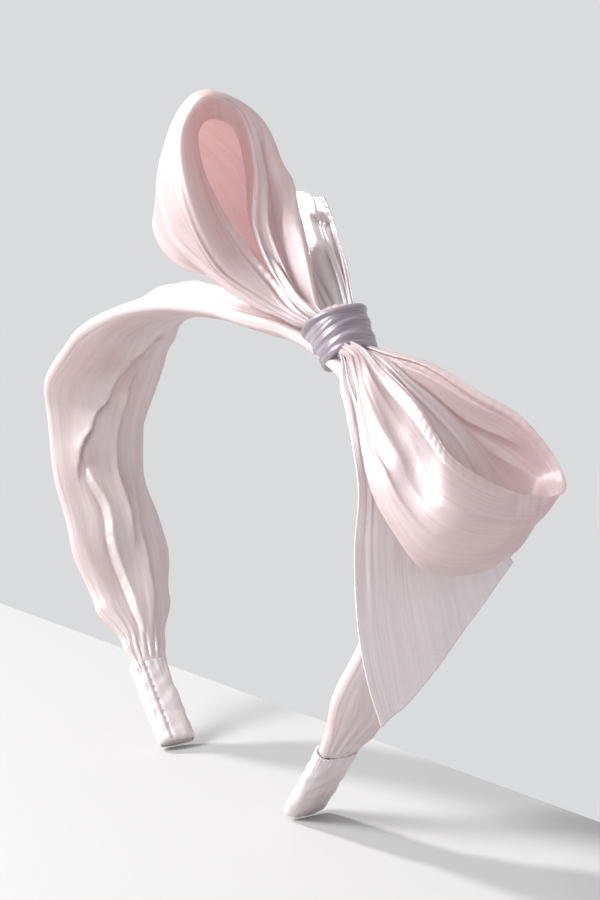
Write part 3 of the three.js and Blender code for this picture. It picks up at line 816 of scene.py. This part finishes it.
upper_loop = bow_piece(
    "upper_loop_ribbon", UPPER_LOOP, 380, 190, 60, ["upper_loop"], ["upper_loop"],
    seed=2, folds=6, depth=1.7, reach=26, wavy=0.25, tip_calm=0.9,
    creases=[
        ([(0.60, 0.47), (0.75, 0.46), (0.97, 0.45)], -3.2, 2.2),
        ([(0.62, 0.56), (0.78, 0.56), (0.97, 0.55)], 1.5, 1.6),
        ([(0.58, 0.39), (0.8, 0.37), (0.97, 0.37)], 0.8, 1.2),
        ([(0.03, 0.6), (0.15, 0.58), (0.32, 0.52)], -1.2, 3.0),
    ])
lower_loop = bow_piece(
    "lower_loop_ribbon", LOWER_LOOP, 340, 170, 56, ["lower_loop"], ["lower_loop"],
    seed=5, folds=6, depth=1.4, reach=20, tip_calm=0.7, face=-1,
    creases=[
        ([(0.04, 0.74), (0.14, 0.78), (0.26, 0.72)], -3.6, 2.3),
        ([(0.03, 0.55), (0.12, 0.50), (0.3, 0.42)], 0.9, 3.0),
        ([(0.66, 0.2), (0.78, 0.24), (0.95, 0.3)], -0.9, 1.6),
        ([(0.60, 0.34), (0.74, 0.4), (0.92, 0.42)], 0.9, 1.6),
    ])
upper_tail = bow_piece(
    "upper_tail_ribbon", UPPER_TAIL, 220, 120, 44, ["crown"], ["upper_tail"], material=doubled,
    seed=7, folds=5, depth=1.4, reach=22, both=False,
    creases=[
        ([(0.05, 0.3), (0.3, 0.26), (0.6, 0.3)], -2.2, 1.8),
        ([(0.05, 0.55), (0.3, 0.52), (0.58, 0.48)], -1.8, 1.6),
        ([(0.05, 0.42), (0.3, 0.39), (0.56, 0.38)], 1.2, 1.8),
    ])
lower_tail = bow_piece(
    "lower_tail_ribbon", LOWER_TAIL, 260, 130, 50, ["crown", "lower_tail"], ["lower_tail_top", "lower_tail"],
    material=doubled, seed=9, folds=5, depth=1.3, reach=26, both=False, soft=0.7)
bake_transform(lower_tail)


# ---------------------------------------------------------------- the CAD nodes that stay

for node in ("core_crown", "core_left_arm", "core_right_arm"):
    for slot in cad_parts[node].material_slots:
        slot.link = "OBJECT"
        slot.material = core_plastic


# ---------------------------------------------------------------- cloth areas


def declare(piece, width, length):
    """Prints the piece's cloth area and the area of the rectangle that it would be if it were laid flat."""
    print(piece.name, "cloth", round(area_of(piece) * 1e6), "mm2, flat", round(width * length * 1e6), "mm2")


declare(left_sleeve, 0.062, 0.217)
declare(right_sleeve, 0.050, 0.104)
declare(upper_loop, 0.053, 0.130)
declare(lower_loop, 0.026, 0.140)
declare(upper_tail, 0.020, 0.069)
declare(lower_tail, 0.034, 0.0745)
declare(gather, 0.0144, 0.034)
declare(knot, 0.0125, 0.046)


# ---------------------------------------------------------------- floor, light and camera


def floor():
    """The pale surface under the tips, with a straight far edge that runs slightly askew."""
    size, back, slant, below_tips = 3.0, 0.045, 0.074, 0.0016
    z = TIP_Z * MM - below_tips
    mesh = bpy.data.meshes.new("floor")
    front = [(-size, -size, z), (size, -size, z)]
    far = [(size, back + slant * size, z), (-size, back - slant * size, z)]
    mesh.from_pydata(front + far, [], [(0, 1, 2, 3)])
    n = Nodes("pale floor")
    place = n.add("TexCoord").outputs["Object"]
    grain = n.add("TexNoise", inputs={"Vector": place, "Scale": 700.0, "Detail": 3.0}).outputs[0]
    bump = n.add("Bump", inputs={"Strength": 0.15, "Distance": 0.0002, "Height": grain}).outputs[0]
    grey = (0.39, 0.39, 0.393, 1)
    body = n.add("BsdfPrincipled", inputs={"Base Color": grey, "Roughness": 0.75, "Normal": bump})
    n.add("OutputMaterial", inputs={"Surface": body.outputs[0]})
    mesh.materials.append(n.mat)
    piece = bpy.data.objects.new("floor", mesh)
    bpy.context.scene.collection.objects.link(piece)


def lamp(name, kind, place, target, energy, colour, size):
    """A sun or area lamp at place that shines on target. size is a sun's angle or an area's width."""
    data = bpy.data.lights.new(name, kind)
    data.energy = energy
    data.color = colour
    if kind == "AREA":
        data.size = size
    else:
        data.angle = size
    holder = bpy.data.objects.new(name, data)
    holder.location = place
    holder.rotation_euler = (Vector(target) - Vector(place)).to_track_quat("-Z", "Y").to_euler()
    bpy.context.scene.collection.objects.link(holder)


floor()
lamp("key", "SUN", (-0.78, -0.3, 0.6), (0, 0, 0), 3.3, (1.0, 0.985, 0.965), math.radians(6))
lamp("window", "AREA", (-0.22, -0.80, 0.62), (0.02, 0, -0.03), 17.0, (1.0, 0.99, 0.98), 0.45)
lamp("fill", "AREA", (0.85, -0.65, 0.1), (0.02, 0, -0.04), 2.4, (0.98, 0.98, 1.0), 0.9)

world = bpy.data.worlds.new("studio")
bpy.context.scene.world = world
world.use_nodes = True
tree = world.node_tree
backdrop = tree.nodes["Background"]
backdrop.inputs[0].default_value = (0.84, 0.845, 0.855, 1)
place = tree.nodes.new("ShaderNodeTexCoord").outputs["Generated"]
facing = tree.nodes.new("ShaderNodeVectorMath")
facing.operation = "DOT_PRODUCT"
facing.inputs[1].default_value = (-0.87, 0.48, 0.1)
tree.links.new(place, facing.inputs[0])
bright = tree.nodes.new("ShaderNodeMapRange")
bright.interpolation_type = "SMOOTHSTEP"
for key, value in ((1, -0.5), (2, 0.7), (3, 0.74), (4, 0.84)):
    bright.inputs[key].default_value = value
tree.links.new(facing.outputs["Value"], bright.inputs[0])
tree.links.new(bright.outputs[0], backdrop.inputs[1])

bpy.context.scene.view_settings.view_transform = "Standard"


def camera():
    """The photograph's angle: 61 degrees round to the bow's side, 7 degrees up, rolled a little."""
    azimuth, elevation, roll = math.radians(60.92), math.radians(7.13), math.radians(2.39)
    distance, target = 0.3932, Vector((0.0386, 0, -0.02795))
    level = math.cos(elevation)
    back = Vector((math.sin(azimuth) * level, -math.cos(azimuth) * level, math.sin(elevation)))
    data = bpy.data.cameras.new("camera")
    data.sensor_width = 36
    data.lens = 71.95
    data.clip_start = 0.01
    data.clip_end = 20
    piece = bpy.data.objects.new("camera", data)
    piece.location = target + back * distance
    turn = (-back).to_track_quat("-Z", "Y").to_matrix()
    right = Vector((math.cos(azimuth), math.sin(azimuth), 0))
    up = right.cross(-back)
    across = math.cos(roll) * right - math.sin(roll) * up
    top = math.sin(roll) * right + math.cos(roll) * up
    for i in range(3):
        turn[i][0], turn[i][1], turn[i][2] = across[i], top[i], back[i]
    piece.rotation_mode = "QUATERNION"
    piece.rotation_quaternion = turn.to_quaternion()
    bpy.context.scene.collection.objects.link(piece)
    bpy.context.scene.camera = piece


camera()
